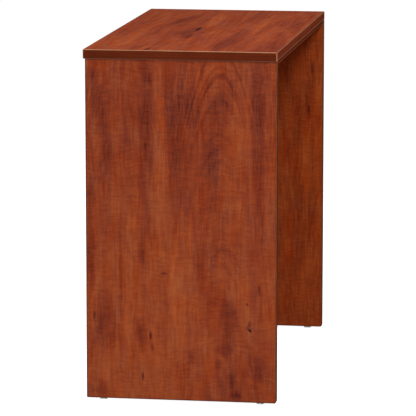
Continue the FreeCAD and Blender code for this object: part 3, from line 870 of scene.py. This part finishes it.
def bolt_shape():
    """A connecting bolt along Z from the middle of its cam: head, neck, shank, collar and thread."""
    shank_start = BOLT_NECK_END + BOLT_SHANK_RADIUS - BOLT_NECK_RADIUS
    rings = [
        round_ring(BOLT_HEAD_START, BOLT_HEAD_RADIUS - BOLT_CHAMFER),
        round_ring(BOLT_HEAD_START + BOLT_CHAMFER, BOLT_HEAD_RADIUS),
        round_ring(BOLT_SHOULDER, BOLT_HEAD_RADIUS),
        round_ring(BOLT_SHOULDER, BOLT_NECK_RADIUS),
        round_ring(BOLT_NECK_END, BOLT_NECK_RADIUS),
        round_ring(shank_start, BOLT_SHANK_RADIUS),
        round_ring(BOLT_COLLAR_START, BOLT_SHANK_RADIUS),
        round_ring(BOLT_COLLAR_START, BOLT_COLLAR_RADIUS),
        round_ring(BOLT_JOINT, BOLT_COLLAR_RADIUS),
    ]
    thread_top = BOLT_TIP - BOLT_CHAMFER
    rings += thread_rings(BOLT_JOINT, thread_top, BOLT_THREAD_RADIUS, BOLT_PITCH, BOLT_THREAD_DEPTH)
    rings.append(round_ring(BOLT_TIP, BOLT_THREAD_RADIUS - BOLT_CHAMFER))
    shape = bmesh.new()
    skin(shape, rings)
    return shape


def copies(make_shape, places):
    """One shape that holds a copy of another at each place."""
    pattern = bpy.data.meshes.new("pattern")
    single = make_shape()
    single.to_mesh(pattern)
    single.free()
    group = bmesh.new()
    for place in places:
        known = len(group.verts)
        group.from_mesh(pattern)
        group.verts.ensure_lookup_table()
        bmesh.ops.transform(group, matrix=place, verts=group.verts[known:])
    bpy.data.meshes.remove(pattern)
    return group


def aimed(origin, direction):
    """A place at an origin whose own Z runs along a direction."""
    turn = Vector(direction).to_track_quat("Z", "Y").to_matrix().to_4x4()
    return Matrix.Translation(origin) @ turn


def make_stems(material):
    for name in frame["nodes"]:
        if name.endswith("_foot_stem"):
            low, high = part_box(name)
            made = piece(f"{name}_threaded", stem_shape(low.z, high.z), material, name, name)
            middle = (low + high) / 2
            made.data.transform(Matrix.Translation((middle.x, middle.y, 0.0)))


def make_screws(material):
    places = []
    for name in ("left_bracket", "right_bracket"):
        low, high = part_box(name)
        middle = (low.x + high.x) / 2
        for hole in BRACKET_HOLES:
            under_top = Vector((middle, high.y - hole, high.z - BRACKET_SHEET))
            on_panel = Vector((middle, high.y - BRACKET_SHEET, high.z - hole))
            places += [aimed(under_top, (0, 0, -1)), aimed(on_panel, (0, -1, 0))]
    shape = copies(screw_shape, places)
    piece("bracket_screws_crossed", shape, material, "desk", "bracket_screws")


def make_bolts(material):
    places = {"desktop_cam_bolts": [], "modesty_cam_bolts": []}
    for joint in frame["joints"]:
        origin = Vector(joint.get("pos_m", (0, 0, 0)))
        if joint["child"].endswith("_desktop_cam"):
            places["desktop_cam_bolts"].append(aimed(origin, (0, 0, 1)))
        elif joint["child"].endswith("_modesty_cam"):
            places["modesty_cam_bolts"].append(aimed(origin, (math.copysign(1, origin.x), 0, 0)))
    for group, spots in places.items():
        piece(f"{group}_threaded", copies(bolt_shape, spots), material, "desk", group)


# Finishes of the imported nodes


def paint(name, material):
    slots = frame["nodes"][name].data.materials
    slots.clear()
    slots.append(material)


def paint_boards():
    """Each board's laminate, with the place of the face that has its marks."""
    faces = {
        "left_end_panel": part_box("left_end_panel")[0].x,
        "right_end_panel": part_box("right_end_panel")[0].x,
        "desktop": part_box("desktop")[1].z,
    }
    for name, board in BOARDS.items():
        paint(name, laminate(board, faces.get(name, 0.0)))


def paint_bands():
    """Bands with grain along their longest side, palest on the desktop's upper and upright arrises, where
    scraped PVC carries a painted highlight.
    """
    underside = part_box("desktop_front_band")[0].z
    lower_line = Line(underside + LOWER_LINE_START, underside + LOWER_LINE_END, LOWER_LINE_TONES)
    # The rail's line is a painted shadow under the desktop's edge
    seam_shadow = Line(underside - SEAM_SHADOW_HEIGHT, underside, SEAM_SHADOW_TONES)
    along_desk = edge_band("desktop_band_along", "ZXY", FRONT_EDGES, seed=1.7, line=lower_line)
    across_desk = edge_band("desktop_band_across", "ZYX", END_EDGES, seed=2.9)
    upright = edge_band("panel_front_band", "YZX", DULL_EDGES, seed=4.2)
    back = edge_band("panel_back_band", "YZX", PLAIN_EDGES, seed=6.3)
    bottom = edge_band("panel_bottom_band", "XYZ", PLAIN_EDGES, seed=7.7)
    modesty = edge_band("modesty_band", "YXZ", PLAIN_EDGES, seed=9.1)
    rail = edge_band("rail_band", "ZXY", RAIL_EDGES, seed=10.4, line=seam_shadow)
    for name in ("desktop_front_band", "desktop_back_band"):
        paint(name, along_desk)
    for side in ("left", "right"):
        paint(f"desktop_{side}_band", across_desk)
        paint(f"{side}_panel_front_band", upright)
        paint(f"{side}_panel_back_band", back)
        paint(f"{side}_panel_bottom_band", bottom)
    paint("modesty_bottom_band", modesty)
    paint("front_rail", rail)


def paint_fittings(plated):
    """Finishes of the fittings, by the endings of their nodes' names."""
    endings = {
        "_cam": metal(ZINC),
        "_pad": nylon(),
        "_dowels": beech(),
        "_bracket": plated,
        "_inserts": plated,
        "_stem": plated,
        "_bolts": plated,
        "_screws": plated,
    }
    for name in frame["nodes"]:
        for ending, material in endings.items():
            if name.endswith(ending):
                paint(name, material)


# Floor, light and camera


def seen_rays(tree):
    """1 for the rays that show the background: from the camera, in gloss and through glass."""
    path = tree.nodes.new("ShaderNodeLightPath")
    total = path.outputs["Is Camera Ray"]
    for kind in ("Is Glossy Ray", "Is Transmission Ray"):
        larger = tree.nodes.new("ShaderNodeMath")
        larger.operation = "MAXIMUM"
        tree.links.new(total, larger.inputs[0])
        tree.links.new(path.outputs[kind], larger.inputs[1])
        total = larger.outputs[0]
    return total


def mix_shaders(tree, factor, first, second):
    made = tree.nodes.new("ShaderNodeMixShader")
    for socket, source in zip(made.inputs, (factor, first, second)):
        tree.links.new(source, socket)
    return made.outputs["Shader"]


def make_floor():
    """A pale floor that shows the desk's shadow, and can be seen through from below."""
    corners = [(-FLOOR_REACH, -FLOOR_REACH), (FLOOR_REACH, -FLOOR_REACH),
               (FLOOR_REACH, FLOOR_REACH), (-FLOOR_REACH, FLOOR_REACH)]
    mesh = bpy.data.meshes.new("floor")
    mesh.from_pydata([(x, y, -FLOOR_DROP) for x, y in corners], [], [(0, 1, 2, 3)])
    material = bpy.data.materials.new("pale_floor")
    material.use_nodes = True
    tree = material.node_tree
    tree.nodes.clear()
    matt = tree.nodes.new("ShaderNodeBsdfDiffuse")
    matt.inputs["Color"].default_value = FLOOR_COLOUR
    glow = tree.nodes.new("ShaderNodeEmission")
    glow.inputs["Color"].default_value = WHITE
    share = tree.nodes.new("ShaderNodeMath")
    share.operation = "MULTIPLY"
    share.inputs[1].default_value = FLOOR_GLOW
    tree.links.new(seen_rays(tree), share.inputs[0])
    tree.links.new(share.outputs[0], glow.inputs["Strength"])
    above = tree.nodes.new("ShaderNodeAddShader")
    tree.links.new(matt.outputs[0], above.inputs[0])
    tree.links.new(glow.outputs[0], above.inputs[1])
    below = tree.nodes.new("ShaderNodeBsdfTransparent")
    side = tree.nodes.new("ShaderNodeNewGeometry")
    output = tree.nodes.new("ShaderNodeOutputMaterial")
    both = mix_shaders(tree, side.outputs["Backfacing"], above.outputs[0], below.outputs[0])
    tree.links.new(both, output.inputs["Surface"])
    mesh.materials.append(material)
    floor = bpy.data.objects.new("floor", mesh)
    bpy.context.scene.collection.objects.link(floor)


def make_world():
    """White where it is seen, and an even, weaker light on the desk."""
    world = bpy.data.worlds.new("studio")
    world.use_nodes = True
    bpy.context.scene.world = world
    tree = world.node_tree
    tree.nodes.clear()
    light = tree.nodes.new("ShaderNodeBackground")
    light.inputs["Strength"].default_value = AMBIENT
    seen = tree.nodes.new("ShaderNodeBackground")
    for background in (light, seen):
        background.inputs["Color"].default_value = WHITE
    both = mix_shaders(tree, seen_rays(tree), light.outputs[0], seen.outputs[0])
    output = tree.nodes.new("ShaderNodeOutputWorld")
    tree.links.new(both, output.inputs["Surface"])


def make_lights():
    """Soft square lamps aimed at the desk, which the camera doesn't see."""
    for name, box in SOFTBOXES.items():
        lamp = bpy.data.lights.new(name, "AREA")
        lamp.shape = "SQUARE"
        lamp.size = box.side
        lamp.energy = box.power
        made = bpy.data.objects.new(name, lamp)
        made.location = box.place
        made.rotation_euler = (SOFTBOX_TARGET - made.location).to_track_quat("-Z", "Y").to_euler()
        made.visible_camera = False
        bpy.context.scene.collection.objects.link(made)


def make_camera():
    data = bpy.data.cameras.new("camera")
    data.lens = LENS_MM
    data.sensor_width = SENSOR_MM
    data.clip_end = 2 * FLOOR_REACH
    camera = bpy.data.objects.new("camera", data)
    camera.location = EYE
    camera.rotation_euler = (AIM - EYE).to_track_quat("-Z", "Y").to_euler()
    bpy.context.scene.collection.objects.link(camera)
    bpy.context.scene.camera = camera


bpy.context.scene.view_settings.view_transform = "Standard"
make_camera()
make_world()
make_floor()
make_lights()
plated_steel = metal(PLATED)
paint_boards()
paint_bands()
paint_fittings(plated_steel)
make_stems(plated_steel)
make_screws(plated_steel)
make_bolts(plated_steel)
